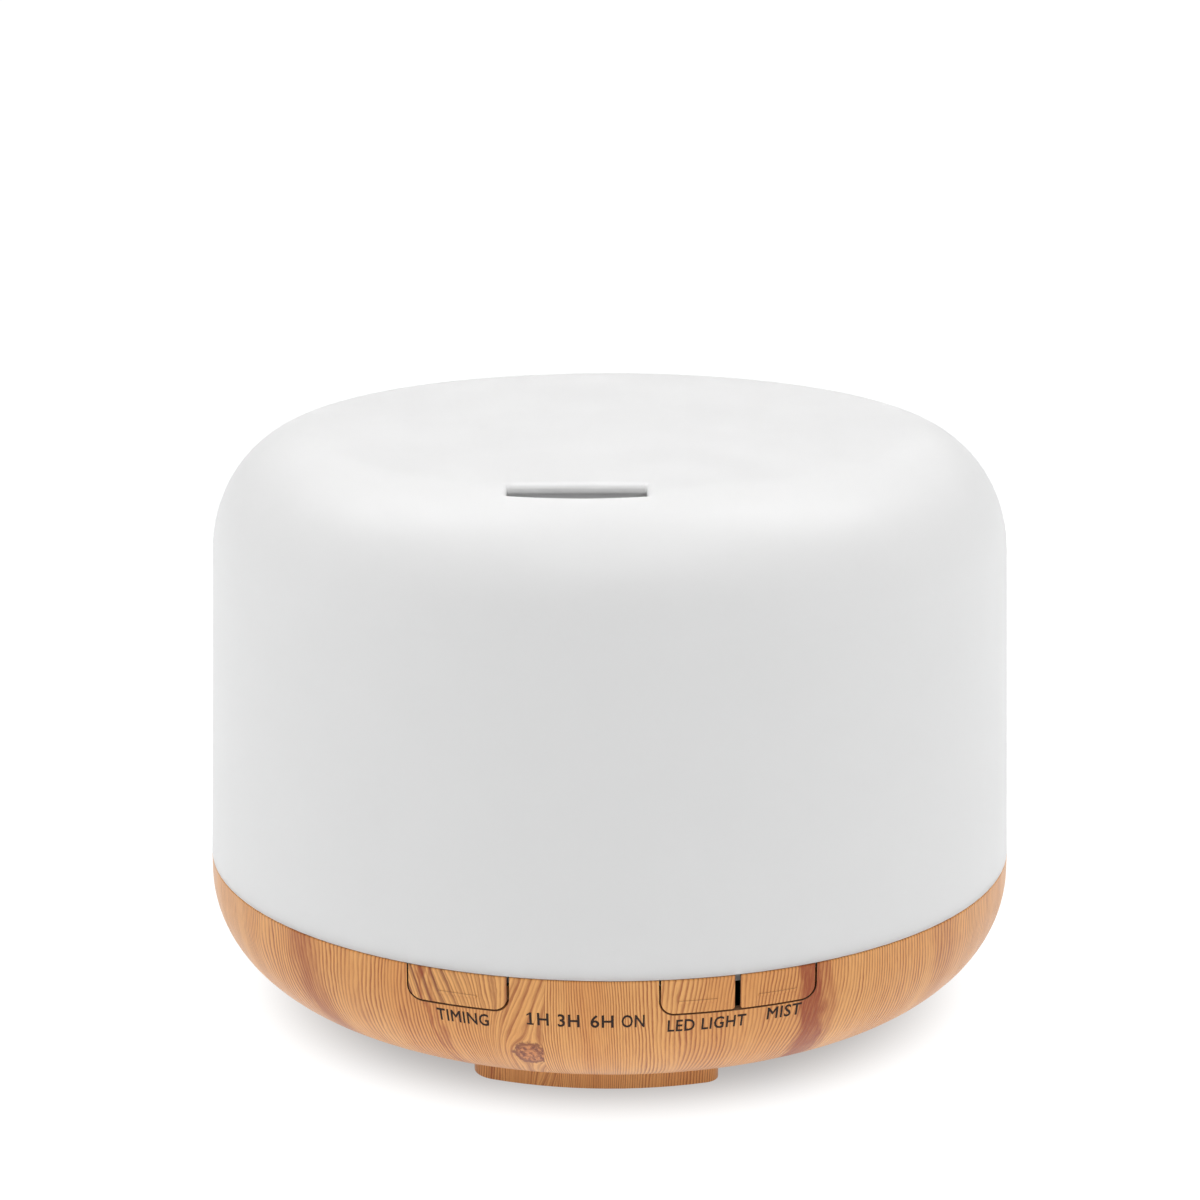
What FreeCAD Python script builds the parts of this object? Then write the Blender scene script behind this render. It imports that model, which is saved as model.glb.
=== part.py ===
"""Ultrasonic essential oil diffuser: a wood-grain base with the electronics, a water tank, a lift-out splash
cover and a lift-off top cover.

Millimetres. Z is up, the front with the buttons faces -Y, and the origin is on the surface that the diffuser
stands on, under the centre of the body. An azimuth is measured from the front towards +X, in degrees.
"""

import FreeCAD
import Part
import math
import os

V = FreeCAD.Vector
X_AXIS = V(1, 0, 0)
Y_AXIS = V(0, 1, 0)
Z_AXIS = V(0, 0, 1)
ORIGIN = V(0, 0, 0)

# ---- driving dimensions: the body's outline ----
BODY_R = 84.0  # at the seam between the cover and the base
TOTAL_H = 121.0
SEAM_Z = 31.8
LIP_Z = 28.0  # the base is straight above this and rounded below it
FLOOR_R = 59.3  # the flat underside
FLOOR_Z = 4.75
SHELL_WALL = 2.2
COVER_WALL = 2.0
COVER_GAP = 0.05  # between the cover's lower edge and the base rim that carries it
COVER_DRAFT = math.tan(math.radians(2.0))
COVER_CORNER_R = 20.4  # radial length of the rounded top corner
COVER_CORNER_H = 23.4  # height of the rounded top corner
COVER_CROWN = 0.7

# ---- mist slot in the cover ----
SLOT_X = -6.1  # the slot's middle
SLOT_HALF = 13.0
SLOT_REAR_Y = -58.4
SLOT_LEFT_Y = -63.1  # the curved front edge's left end, middle and right end
SLOT_FRONT_Y = -65.5
SLOT_RIGHT_Y = -64.8
SLOT_RIM_ROUND = 1.0

# ---- feet, screws and the fan ----
FOOT_AZIMUTHS = {"front": -3.3, "right": 116.7, "left": 236.7}
FOOT_SPAN = 24.9  # half of the angle that a foot covers
FOOT_R_IN = 48.0
FOOT_R_OUT = 61.4
FOOT_BOTTOM = 0.3
SCREW_RADIUS_AT = 54.5
BOSS_SPLIT_Z = 20.0  # where the shell's boss meets the tank's boss
BOSS_R = 4.0
FAN_Y = 37.0
FAN_SIDE = 40.0
FAN_Z = (8.0, 18.0)
FAN_PITCH = 16.0  # half of the spacing between the fan's screw holes
FAN_BORE_R = 18.8

# ---- tank ----
TANK_RIM_Z = 84.0
TANK_R = 73.0  # inside, at the rim
TANK_WALL = 2.0
TANK_FLOOR_Z = 39.8  # the tank's floor, inside, at its edge
TANK_CORNER_R = 4.0
DECK_Z = (29.3, 31.3)
DECK_R = 81.5
COLLAR_R = (79.5, 80.9)
COLLAR_TOP = 40.0
DUCT_Y = 43.0
DUCT_SIZE = (28.0, 16.0)
DUCT_TOP = 80.0
DUCT_SEAT_Z = 36.4  # flat seat under the tank floor that the air riser is welded to
DUCT_SKIRT_R = (18.0, 20.0)
FAN_GASKET_T = 2.0

# ---- buttons and the key board behind them ----
BUTTON_TOP = 31.65
BUTTON_BOTTOM = 24.95
BUTTON_CORNER = 2.6
BUTTON_WALL = 2.0
TACTILE_BAR_HALF = 3.6
SWITCH_Z = 26.0
KEY_BOARD_Y = (-64.0, -62.4)
KEY_BOARD_Z = (18.0, 29.0)
SWITCH_SIDE = 6.0
SWITCH_FRONT_Y = -67.5
STEM_FRONT_Y = -69.0
WINDOWS = {"timing": (-38.1, -18.6), "light_mist": (9.2, 39.1)}
# name: left edge, right edge, left lower corner radius, right lower corner radius
BUTTONS = {
    "timing": (-37.8, -19.1, BUTTON_CORNER, BUTTON_CORNER),
    "light": (9.6, 23.4, BUTTON_CORNER, 0.5),
    "mist": (24.5, 38.7, 0.5, BUTTON_CORNER),
}
INDICATOR_XS = (-13.4, -7.6, -1.3, 4.4)
INDICATOR_Z = 27.6
INDICATOR_SKIN = 0.8  # plastic left in front of each light guide, thin enough to glow through

# ---- power inlet ----
JACK_Z = 19.0
JACK_FRONT_Y = 74.2
JACK_REAR_Y = 60.0
JACK_PIN_R = 1.05
JACK_BOARD_Z = (10.9, 12.5)

# ---- main board ----
MAIN_BOARD_X = (-58.0, -26.0)
MAIN_BOARD_Y = (-33.0, 21.0)
MAIN_BOARD_Z = (11.0, 12.6)
MAIN_BOARD_HOLES = [(-54.5, -27.0), (-54.5, 15.0), (-37.0, -30.0), (-37.0, 18.0)]
CONNECTOR_X = -29.5
CONNECTOR_YS = {"key": -27.0, "piezo": -16.5, "led": -6.0, "fan": 4.5, "power": 15.0}
CONNECTOR_TOP = 18.6

# ---- ultrasonic transducer and lights under the tank ----
WELL_R = 14.0
WELL_FLOOR_Z = (33.5, 35.5)
PIEZO_R = 10.0
PIEZO_Z = (31.3, 32.5)
GASKET_Z = (30.3, 33.5)
RETAINER_T = 2.0
RETAINER_SCREW_R = 17.5
LED_BOARD_R = (24.0, 38.0)
LED_BOARD_Z = (33.0, 34.6)
LED_BOARD_END = 115.0
LED_POST_R = 31.0
LED_POST_AZIMUTHS = (0.0, 100.0, -100.0)

WIRE_R = 0.6


# ---------------------------------------------------------------- helpers


def polar(azimuth, radius, z=0.0):
    a = math.radians(azimuth)
    return V(radius * math.sin(a), -radius * math.cos(a), z)


def block(x, y, z):
    """A box from three (low, high) pairs."""
    return Part.makeBox(x[1] - x[0], y[1] - y[0], z[1] - z[0], V(x[0], y[0], z[0]))


def rod(radius, start, end):
    return Part.makeCylinder(radius, (end - start).Length, start, end - start)


def upright(radius, x, y, z):
    return Part.makeCylinder(radius, z[1] - z[0], V(x, y, z[0]))


def ring(r_out, r_in, z, x=0.0, y=0.0):
    return upright(r_out, x, y, z).cut(upright(r_in, x, y, (z[0] - 1, z[1] + 1)))


def fused(shapes):
    shapes = list(shapes)
    if len(shapes) == 1:
        return shapes[0]
    return shapes[0].fuse(shapes[1:]).removeSplitter()


def edges_along(solid, axis):
    found = []
    for e in solid.Edges:
        way = e.valueAt(e.LastParameter) - e.valueAt(e.FirstParameter)
        if way.Length > 1e-6 and abs(way.normalize().dot(axis)) > 0.999:
            found.append(e)
    return found


def slab(width, depth, corner, z, x=0.0, y=0.0):
    """An upright prism on a rectangle with rounded corners."""
    solid = block((x - width / 2, x + width / 2), (y - depth / 2, y + depth / 2), z)
    return solid.makeFillet(corner, edges_along(solid, Z_AXIS))


def line(a, b):
    return Part.LineSegment(V(a[0], 0, a[1]), V(b[0], 0, b[1])).toShape()


def bend(start, corner, end):
    """A quarter of an ellipse from start to end, tangent to the lines to the corner."""
    curve = Part.BezierCurve()
    curve.setPoles([V(p[0], 0, p[1]) for p in (start, corner, end)])
    curve.setWeight(2, math.sqrt(0.5))
    return curve.toShape()


def arc(a, middle, b):
    return Part.Arc(*[V(p[0], 0, p[1]) for p in (a, middle, b)]).toShape()


def chain(*points):
    return [line(a, b) for a, b in zip(points, points[1:])]


def revolved(edges):
    return Part.Face(Part.Wire(edges)).revolve(ORIGIN, Z_AXIS, 360)


def sector(r_in, r_out, azimuths, z):
    """An upright prism on a piece of a ring."""
    a0, a1 = azimuths
    mid = (a0 + a1) / 2
    outer = Part.Arc(polar(a0, r_out, z[0]), polar(mid, r_out, z[0]), polar(a1, r_out, z[0])).toShape()
    inner = Part.Arc(polar(a1, r_in, z[0]), polar(mid, r_in, z[0]), polar(a0, r_in, z[0])).toShape()
    side_1 = Part.LineSegment(polar(a1, r_out, z[0]), polar(a1, r_in, z[0])).toShape()
    side_0 = Part.LineSegment(polar(a0, r_in, z[0]), polar(a0, r_out, z[0])).toShape()
    return Part.Face(Part.Wire([outer, side_1, inner, side_0])).extrude(V(0, 0, z[1] - z[0]))


def rounded_at(solid, place, radius):
    """The solid with its upright edge nearest to the place rounded."""
    edge = min(edges_along(solid, Z_AXIS), key=lambda e: e.distToShape(Part.Vertex(place))[0])
    return solid.makeFillet(radius, [edge])


def screw(head_r, head_h, shaft_r, length, seat, way):
    """A pan-head screw with its head on the seat point; its shaft runs along way."""
    way = V(way).normalize()
    head = rod(head_r, seat - way * head_h, seat)
    rim = [e for e in head.Edges if e.CenterOfMass.distanceToPoint(seat - way * head_h) < 0.01 and e.isClosed()]
    head = head.makeFillet(head_h * 0.45, rim)
    body = head.fuse(rod(shaft_r, seat - way * 0.01, seat + way * length)).removeSplitter()
    across = X_AXIS if abs(way.x) < 0.5 else Y_AXIS
    other = way.cross(across)
    arm, half, depth = head_r * 1.1, head_r * 0.13, head_h * 0.6
    for u, w in ((across, other), (other, across)):
        corner = seat - way * (head_h + 1.0) - u * (arm / 2) - w * half
        face = Part.Face(Part.makePolygon([corner, corner + u * arm, corner + u * arm + w * 2 * half,
                                           corner + w * 2 * half, corner]))
        body = body.cut(face.extrude(way * (depth + 1.0)))
    return body


def cord_path(points):
    """Straight runs joined by tangent arcs, each arc as large as its two runs allow."""
    edges = []
    here = points[0]
    for before, corner, after in zip(points, points[1:], points[2:]):
        into = (corner - before)
        out = (after - corner)
        shorter = min(into.Length, out.Length)
        a, b = V(into).normalize(), V(out).normalize()
        reach = 0.45 * shorter
        start, end = corner - a * reach, corner + b * reach
        turn = a.getAngle(b)
        radius = reach / math.tan(turn / 2)
        centre = corner + (b - a).normalize() * (radius / math.cos(turn / 2))
        middle = centre + (corner - centre).normalize() * radius
        edges.append(Part.LineSegment(here, start).toShape())
        edges.append(Part.Arc(start, middle, end).toShape())
        here = end
    edges.append(Part.LineSegment(here, points[-1]).toShape())
    return Part.Wire(edges)


def wire_tube(points, radius=WIRE_R):
    path = cord_path(points)
    way = points[1] - points[0]
    profile = Part.Wire(Part.makeCircle(radius, points[0], way))
    tube = path.makePipeShell([profile], True, False)
    expected = math.pi * radius ** 2 * path.Length
    assert abs(tube.Volume / expected - 1) < 0.01, (tube.Volume, expected)
    return tube


# ---------------------------------------------------------------- base shell and buttons


def skin(inset, top):
    """The base's outer form, drawn in by inset, filled to the axis and up to the top."""
    r_floor, z_floor, r_side = FLOOR_R, FLOOR_Z + inset, BODY_R - inset
    edges = chain((0, z_floor), (r_floor, z_floor))
    edges.append(bend((r_floor, z_floor), (r_side, z_floor), (r_side, LIP_Z)))
    edges += chain((r_side, LIP_Z), (r_side, top), (0, top), (0, z_floor))
    return revolved(edges)


def rim_cut():
    """Bevels the shell's outer top edge in two steps and leaves an inner rim that carries the cover."""
    step_z, rim_r = BUTTON_TOP, BODY_R - 1.1
    bevel = [(BODY_R, step_z - 0.28), (BODY_R - 0.09, step_z - 0.09), (BODY_R - 0.28, step_z)]
    around = [(rim_r, step_z), (rim_r, SEAM_Z + 1), (BODY_R + 1, SEAM_Z + 1), (BODY_R + 1, step_z - 0.28)]
    return revolved(chain(*bevel, *around, bevel[0]))


def window_prism(x, z_bottom, z_top, left_corner, right_corner, y=(-90.0, -70.0)):
    solid = block(x, y, (z_bottom, z_top))
    for x_at, corner in ((x[0], left_corner), (x[1], right_corner)):
        middle = Part.Vertex(V(x_at, (y[0] + y[1]) / 2, z_bottom))
        edge = min(edges_along(solid, Y_AXIS), key=lambda e: e.distToShape(middle)[0])
        solid = solid.makeFillet(corner, [edge])
    return solid


def foot_prism(azimuth, inset, z):
    """One foot's outline; its outer corner on the lower azimuth side is the rounder one."""
    turn = math.degrees(inset / FOOT_R_OUT)
    a0, a1 = azimuth - FOOT_SPAN + turn, azimuth + FOOT_SPAN - turn
    r_in, r_out = FOOT_R_IN + inset, FOOT_R_OUT - inset
    solid = sector(r_in, r_out, (a0, a1), z)
    for a, r, corner in ((a0, r_out, 6.0), (a1, r_out, 3.6), (a0, r_in, 3.6), (a1, r_in, 3.6)):
        solid = rounded_at(solid, polar(a, r, z[0]), corner - inset / 2)
    return solid


def grille_slots():
    slots = []
    for i in range(-3, 4):
        offset = i * 4.6
        half = math.sqrt(16.5 ** 2 - offset ** 2)
        slots.append(slab(2 * half, 2.2, 1.05, (FLOOR_Z - 1, FLOOR_Z + 4), 0.0, FAN_Y + offset))
    return slots


def base_shell():
    shell = skin(0, SEAM_Z).cut(skin(SHELL_WALL, SEAM_Z + 1)).cut(rim_cut())
    inner_floor = FLOOR_Z + SHELL_WALL
    added = [foot_prism(a, 0, (FOOT_BOTTOM, FLOOR_Z + 0.8)) for a in FOOT_AZIMUTHS.values()]
    for a in FOOT_AZIMUTHS.values():
        p = polar(a, SCREW_RADIUS_AT)
        added.append(upright(BOSS_R, p.x, p.y, (inner_floor - 0.5, BOSS_SPLIT_Z)))
    for sx in (-1, 1):
        for sy in (-1, 1):
            added.append(upright(3.0, sx * FAN_PITCH, FAN_Y + sy * FAN_PITCH, (inner_floor - 0.5, FAN_Z[0])))
        added.append(upright(2.0, sx * 4.0, 61.5, (inner_floor - 0.5, JACK_BOARD_Z[0])))
    for x, y in MAIN_BOARD_HOLES:
        added.append(upright(2.6, x, y, (inner_floor - 0.5, MAIN_BOARD_Z[0])))
    for x in (-14.0, 12.0):
        added.append(block((x - 3, x + 3), (KEY_BOARD_Y[1], KEY_BOARD_Y[1] + 4.4), (inner_floor - 0.5, 27.0)))
    jack_boss = rod(7.5, V(0, JACK_FRONT_Y + 0.6, JACK_Z), V(0, BODY_R, JACK_Z)).common(skin(0.4, SEAM_Z))
    added.append(jack_boss)
    shell = shell.fuse(added).removeSplitter()

    removed = list(grille_slots())
    for a in FOOT_AZIMUTHS.values():
        p = polar(a, SCREW_RADIUS_AT)
        removed.append(foot_prism(a, 2.0, (FOOT_BOTTOM - 1, FOOT_BOTTOM + 1.0)))
        removed.append(upright(3.2, p.x, p.y, (0, 5.5)))
        removed.append(upright(1.7, p.x, p.y, (0, BOSS_SPLIT_Z + 1)))
    for sx in (-1, 1):
        for sy in (-1, 1):
            removed.append(upright(1.3, sx * FAN_PITCH, FAN_Y + sy * FAN_PITCH, (5.6, FAN_Z[0] + 1)))
    for x, y in MAIN_BOARD_HOLES:
        removed.append(upright(1.1, x, y, (8.0, MAIN_BOARD_Z[0] + 1)))
    for x in (-14.0, 12.0):
        removed.append(rod(1.1, V(x, KEY_BOARD_Y[1] - 1, 21.0), V(x, KEY_BOARD_Y[1] + 3.6, 21.0)))
    for x in WINDOWS.values():
        removed.append(window_prism(x, BUTTON_BOTTOM - 0.4, SEAM_Z + 2, BUTTON_CORNER + 0.4, BUTTON_CORNER + 0.4))
    for x in INDICATOR_XS:
        removed.append(rod(1.25, V(x, -76.0, INDICATOR_Z), V(x, skin_back_y(x), INDICATOR_Z)))
    removed.append(rod(5.5, V(0, 77.0, JACK_Z), V(0, BODY_R + 5, JACK_Z)))
    removed.append(rod(3.4, V(0, JACK_FRONT_Y - 2, JACK_Z), V(0, BODY_R, JACK_Z)))
    return shell.cut(removed)


def button(name):
    """Front cap, retaining flange behind the shell, tactile bar and the boss that reaches its switch."""
    left, right, left_corner, right_corner = BUTTONS[name]
    flange_top, flange_inset, thick = 29.0, SHELL_WALL + 0.15, 3.5
    cap = skin(0, BUTTON_TOP).cut(skin(BUTTON_WALL, BUTTON_TOP + 1)).cut(rim_cut())
    opening = window_prism((left, right), BUTTON_BOTTOM, SEAM_Z + 2, left_corner, right_corner)
    cap = cap.common(opening)
    plug = skin(BUTTON_WALL - 0.1, flange_top).cut(skin(thick, flange_top + 1)).common(opening)
    grow = 0.9
    flange_x = (left - (grow if left_corner > 1 else 0), right + (grow if right_corner > 1 else 0))
    flange = skin(flange_inset, flange_top).cut(skin(thick, flange_top + 1))
    flange = flange.common(window_prism(flange_x, BUTTON_BOTTOM - 1.2, SEAM_Z, left_corner, right_corner))
    middle = (left + right) / 2
    bar = skin(-0.12, BUTTON_TOP).cut(skin(0.3, BUTTON_TOP + 1))
    bar = bar.common(block((middle - TACTILE_BAR_HALF, middle + TACTILE_BAR_HALF), (-90, -60), (26.9, 27.45)))
    boss = rod(1.6, V(middle, -79.5, SWITCH_Z), V(middle, STEM_FRONT_Y - 0.03, SWITCH_Z))
    boss = boss.cut(skin(-5, SEAM_Z).cut(skin(thick - 0.5, SEAM_Z + 1)))
    return fused([cap, plug, flange, bar, boss])


def button_middle(name):
    return (BUTTONS[name][0] + BUTTONS[name][1]) / 2


def switch_stem(name):
    x = button_middle(name)
    return rod(1.5, V(x, STEM_FRONT_Y, SWITCH_Z), V(x, STEM_FRONT_Y + 2.4, SWITCH_Z))


def switch_case(name):
    x, half = button_middle(name), SWITCH_SIDE / 2
    case = block((x - half, x + half), (SWITCH_FRONT_Y, KEY_BOARD_Y[0]), (SWITCH_Z - half, SWITCH_Z + half))
    case = case.makeFillet(0.4, edges_along(case, Y_AXIS))
    return case.cut(rod(1.6, V(x, SWITCH_FRONT_Y - 1, SWITCH_Z), V(x, SWITCH_FRONT_Y + 1.7, SWITCH_Z)))


def foot_pad(azimuth):
    return foot_prism(azimuth, 2.2, (0.0, FOOT_BOTTOM + 1.0))


def housing_screws():
    seats = [polar(a, SCREW_RADIUS_AT, 5.5) for a in FOOT_AZIMUTHS.values()]
    return Part.makeCompound([screw(2.9, 2.2, 1.45, 22.0, seat, Z_AXIS) for seat in seats])


# ---------------------------------------------------------------- tank


def bowl():
    """The tank's revolved form, with the transducer's well in its floor."""
    rim, wall, corner = TANK_RIM_Z, TANK_WALL, TANK_CORNER_R
    r_low = TANK_R - 0.8
    corner_z = TANK_FLOOR_Z + corner
    corner_r = r_low - corner
    reach = corner * math.sqrt(0.5)
    edges = chain((8.2, WELL_FLOOR_Z[0]), (8.2, WELL_FLOOR_Z[1]), (WELL_R, WELL_FLOOR_Z[1]), (WELL_R, 38.2),
                  (WELL_R + 0.8, 38.6), (corner_r, TANK_FLOOR_Z))
    edges.append(arc((corner_r, TANK_FLOOR_Z), (corner_r + reach, corner_z - reach), (r_low, corner_z)))
    edges += chain((r_low, corner_z), (TANK_R, rim - 0.6), (TANK_R + 0.6, rim), (TANK_R + wall - 0.4, rim),
                   (TANK_R + wall, rim - 0.4), (r_low + wall, corner_z), (r_low + wall, TANK_FLOOR_Z - wall),
                   (corner_r, TANK_FLOOR_Z - wall), (WELL_R + 2, 36.6), (WELL_R + 2, WELL_FLOOR_Z[0]),
                   (8.2, WELL_FLOOR_Z[0]))
    return revolved(edges)


def tank():
    body = bowl().fuse(slab(DUCT_SIZE[0] + 8, DUCT_SIZE[1] + 8, 9.0, (DUCT_SEAT_Z, 39.0), 0, DUCT_Y))
    return body.removeSplitter().cut(slab(DUCT_SIZE[0], DUCT_SIZE[1], 6.0, (30.0, 45.0), 0, DUCT_Y))


def tank_deck():
    """Skirt under the tank's edge, the deck that closes the base and the collar inside the top cover."""
    r_in = TANK_R - 0.8
    body = revolved(chain((r_in, DECK_Z[0]), (r_in, TANK_FLOOR_Z - TANK_WALL),
                          (r_in + TANK_WALL, TANK_FLOOR_Z - TANK_WALL), (r_in + TANK_WALL, DECK_Z[1]),
                          (COLLAR_R[0], DECK_Z[1]), (COLLAR_R[0], COLLAR_TOP), (COLLAR_R[1] - 0.5, COLLAR_TOP),
                          (COLLAR_R[1], COLLAR_TOP - 0.8), (COLLAR_R[1], DECK_Z[1]), (DECK_R, DECK_Z[1]),
                          (DECK_R, DECK_Z[0]), (r_in, DECK_Z[0])))
    relief = ring(DECK_R + 2, COLLAR_R[1], (DECK_Z[0] - 1, DECK_Z[1] + 0.01))
    return body.cut(relief.common(block((-42, 42), (-90, -60), (20, 40))))


def tank_posts():
    """Posts under the tank floor: three for the housing screws, three for the retainer, three for the lights."""
    posts = []
    for azimuths, at, r, hole_r, low, high in (
            (FOOT_AZIMUTHS.values(), SCREW_RADIUS_AT, BOSS_R, 1.5, BOSS_SPLIT_Z, 31.0),
            ((0, 120, 240), RETAINER_SCREW_R, 2.6, 1.0, GASKET_Z[0], 35.6),
            (LED_POST_AZIMUTHS, LED_POST_R, 2.4, 0.9, LED_BOARD_Z[1], 36.6)):
        for az in azimuths:
            p = polar(az, at)
            post = upright(r, p.x, p.y, (low, TANK_FLOOR_Z - 1.0)).cut(upright(hole_r, p.x, p.y, (low - 1, high)))
            posts.append(post)
    under = bowl()
    return Part.makeCompound([s for post in posts for s in post.cut(under).Solids if s.CenterOfMass.z < 37.0])


def air_riser():
    """Oval pipe through the tank floor, which opens below into a round skirt on the fan's gasket."""
    seat, skirt = DUCT_SEAT_Z, DUCT_SKIRT_R
    parts = [slab(DUCT_SIZE[0], DUCT_SIZE[1], 6.0, (seat - 1, DUCT_TOP), 0, DUCT_Y)]
    parts.append(upright(skirt[1], 0, FAN_Y, (FAN_Z[1] + FAN_GASKET_T, seat)))
    body = fused(parts)
    return body.cut([slab(DUCT_SIZE[0] - 4, DUCT_SIZE[1] - 4, 4.0, (30.0, DUCT_TOP + 1), 0, DUCT_Y),
                     upright(skirt[0], 0, FAN_Y, (FAN_Z[1], seat - 2))])


def duct_cap():
    """Roofed cap with side windows, so that splashed water can't run down the air duct."""
    w, d = DUCT_SIZE
    cap = slab(w + 4, d + 4, 7.5, (74.0, 91.0), 0, DUCT_Y)
    top = [e for e in cap.Edges if abs(e.CenterOfMass.z - 91.0) < 1e-3]
    cap = cap.makeFillet(1.2, top)
    cap = cap.cut(slab(w + 0.6, d + 0.6, 6.3, (73.0, DUCT_TOP), 0, DUCT_Y))
    cap = cap.cut(slab(w - 4, d - 4, 4.0, (DUCT_TOP - 1, 89.4), 0, DUCT_Y))
    for x in (-7.6, 0.0, 7.6):
        cap = cap.cut(block((x - 2.8, x + 2.8), (DUCT_Y - 15, DUCT_Y + 15), (82.0, 88.0)))
    return cap


# ---------------------------------------------------------------- top cover, mist nozzle, splash cover


def dome(inset, z_low):
    """The cover's outer form, drawn in by inset and filled to the axis."""
    wall_top = TOTAL_H - COVER_CROWN - COVER_CORNER_H
    r_wall = BODY_R - (wall_top - SEAM_Z) * COVER_DRAFT - inset
    r_low = r_wall + (wall_top - z_low) * COVER_DRAFT
    r_flat = r_wall - (COVER_CORNER_R - inset)
    z_flat = TOTAL_H - COVER_CROWN - inset
    slope = 2 * COVER_CROWN / r_flat
    z_top = TOTAL_H - inset
    # the corner point is where the wall's line meets the crown's tangent
    run = (z_flat - wall_top - slope * (r_wall - r_flat)) / (1 - slope * COVER_DRAFT)
    corner = (r_wall - run * COVER_DRAFT, wall_top + run)
    edges = chain((0, z_low), (r_low, z_low), (r_wall, wall_top))
    edges.append(bend((r_wall, wall_top), corner, (r_flat, z_flat)))
    half = r_flat / 2
    edges.append(arc_crown((r_flat, z_flat), (half, z_top - COVER_CROWN * 0.25), (0, z_top)))
    edges += chain((0, z_top), (0, z_low))
    return revolved(edges)


def arc_crown(a, middle, b):
    """The slightly domed top: a parabola drawn as one curve, level at the axis."""
    curve = Part.BezierCurve()
    control = (2 * middle[0] - (a[0] + b[0]) / 2, 2 * middle[1] - (a[1] + b[1]) / 2)
    curve.setPoles([V(p[0], 0, p[1]) for p in (a, control, b)])
    return curve.toShape()


def slot_prism(grow, z):
    """The mist slot's outline grown all round: straight rear edge and curved front edge."""
    x0, x1 = SLOT_X - SLOT_HALF - grow, SLOT_X + SLOT_HALF + grow
    rear, left, right = SLOT_REAR_Y + grow, SLOT_LEFT_Y - grow, SLOT_RIGHT_Y - grow
    a, b, c, d = (V(x, y, z[0]) for x, y in ((x0, rear), (x0, left), (x1, right), (x1, rear)))
    curve = Part.Arc(b, V(SLOT_X, SLOT_FRONT_Y - grow, z[0]), c).toShape()
    sides = [Part.LineSegment(p, q).toShape() for p, q in ((a, b), (c, d), (d, a))]
    prism = Part.Face(Part.Wire([sides[0], curve, sides[1], sides[2]])).extrude(V(0, 0, z[1] - z[0]))
    return prism.makeFillet(0.5 + grow * 0.8, edges_along(prism, Z_AXIS))


def top_cover():
    cover = dome(0, SEAM_Z + COVER_GAP).cut(dome(COVER_WALL, SEAM_Z - 2)).cut(slot_prism(0, (100, 130)))
    rear = [e for e in cover.Edges if e.CenterOfMass.z > TOTAL_H - 1.5
            and abs(e.CenterOfMass.y - SLOT_REAR_Y) < 0.3 and e.Length > SLOT_HALF]
    # the rounding runs on from the rear edge all round the slot's rim
    return cover.makeFillet(SLOT_RIM_ROUND, rear)


def mist_nozzle():
    """Short duct under the slot, with a flange that is welded to the inside of the cover."""
    inside = dome(COVER_WALL + 0.03, SEAM_Z)
    tube = slot_prism(1.3, (106, 125)).common(inside)
    flange = slot_prism(3.6, (106, 125)).common(inside.cut(dome(COVER_WALL + 1.3, SEAM_Z - 1)))
    return fused([tube, flange]).cut(slot_prism(0, (100, 130)))


def splash_cover():
    """Lid on the tank: a plug skirt, a low dome, a chimney below the mist nozzle and a grip."""
    seat = TANK_RIM_Z + 0.05
    r_out, r_in, r_flange = TANK_R - 0.5, TANK_R - 2.1, TANK_R + 3.0
    edges = chain((r_in, 79.0), (r_out, 79.0), (r_out, seat), (r_flange, seat), (r_flange, seat + 1.6),
                  (r_out, seat + 1.6), (r_out, 90.0))
    edges.append(bend((r_out, 90.0), (r_out, 95.6), (66.9, 95.6)))
    edges += chain((66.9, 95.6), (0, 96.2), (0, 94.6), (66.9, 94.0))
    edges.append(bend((66.9, 94.0), (r_in, 94.0), (r_in, 90.0)))
    edges += chain((r_in, 90.0), (r_in, 79.0))
    lid = revolved(edges)
    chimney = slot_prism(4.0, (93.0, 110.0))
    grip = slab(28.0, 4.0, 1.9, (95.0, 103.0))
    crest = [e for e in grip.Edges if abs(e.CenterOfMass.z - 103.0) < 1e-3]
    grip = grip.makeFillet(1.2, crest)
    lid = lid.fuse([chimney, grip]).removeSplitter()
    lid = lid.cut(slot_prism(2.4, (80.0, 120.0)).cut(ring(90.0, r_in, (70.0, 92.0))))
    return lid


# ---------------------------------------------------------------- ultrasonic transducer


def piezo_disc():
    return upright(PIEZO_R, 0, 0, PIEZO_Z)


def piezo_gasket():
    seal = ring(12.0, 8.0, GASKET_Z)
    return seal.cut(upright(PIEZO_R + 0.05, 0, 0, (PIEZO_Z[0] - 0.02, PIEZO_Z[1] + 0.02)))


def piezo_retainer():
    low, top = GASKET_Z[0] - RETAINER_T, GASKET_Z[0]
    shapes = [upright(15.5, 0, 0, (low, top)), upright(14.0, 0, 0, (low, GASKET_Z[1] - 0.1))]
    for az in (0, 120, 240):
        p = polar(az, RETAINER_SCREW_R)
        shapes.append(upright(3.0, p.x, p.y, (low, top)))
    body = fused(shapes)
    holes = [upright(7.0, 0, 0, (low - 1, 40)), upright(12.1, 0, 0, (top, 40))]
    for az in (0, 120, 240):
        p = polar(az, RETAINER_SCREW_R)
        holes.append(upright(1.2, p.x, p.y, (low - 1, top + 1)))
    return body.cut(holes)


def piezo_screws():
    low = GASKET_Z[0] - RETAINER_T
    return Part.makeCompound([screw(2.1, 1.4, 0.95, 6.6, polar(az, RETAINER_SCREW_R, low), Z_AXIS)
                              for az in (0, 120, 240)])


# ---------------------------------------------------------------- light board under the tank


def led_board():
    board = sector(LED_BOARD_R[0], LED_BOARD_R[1], (-LED_BOARD_END, LED_BOARD_END), LED_BOARD_Z)
    for az in LED_POST_AZIMUTHS:
        p = polar(az, LED_POST_R)
        board = board.cut(upright(1.2, p.x, p.y, (30, 40)))
    return board


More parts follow.
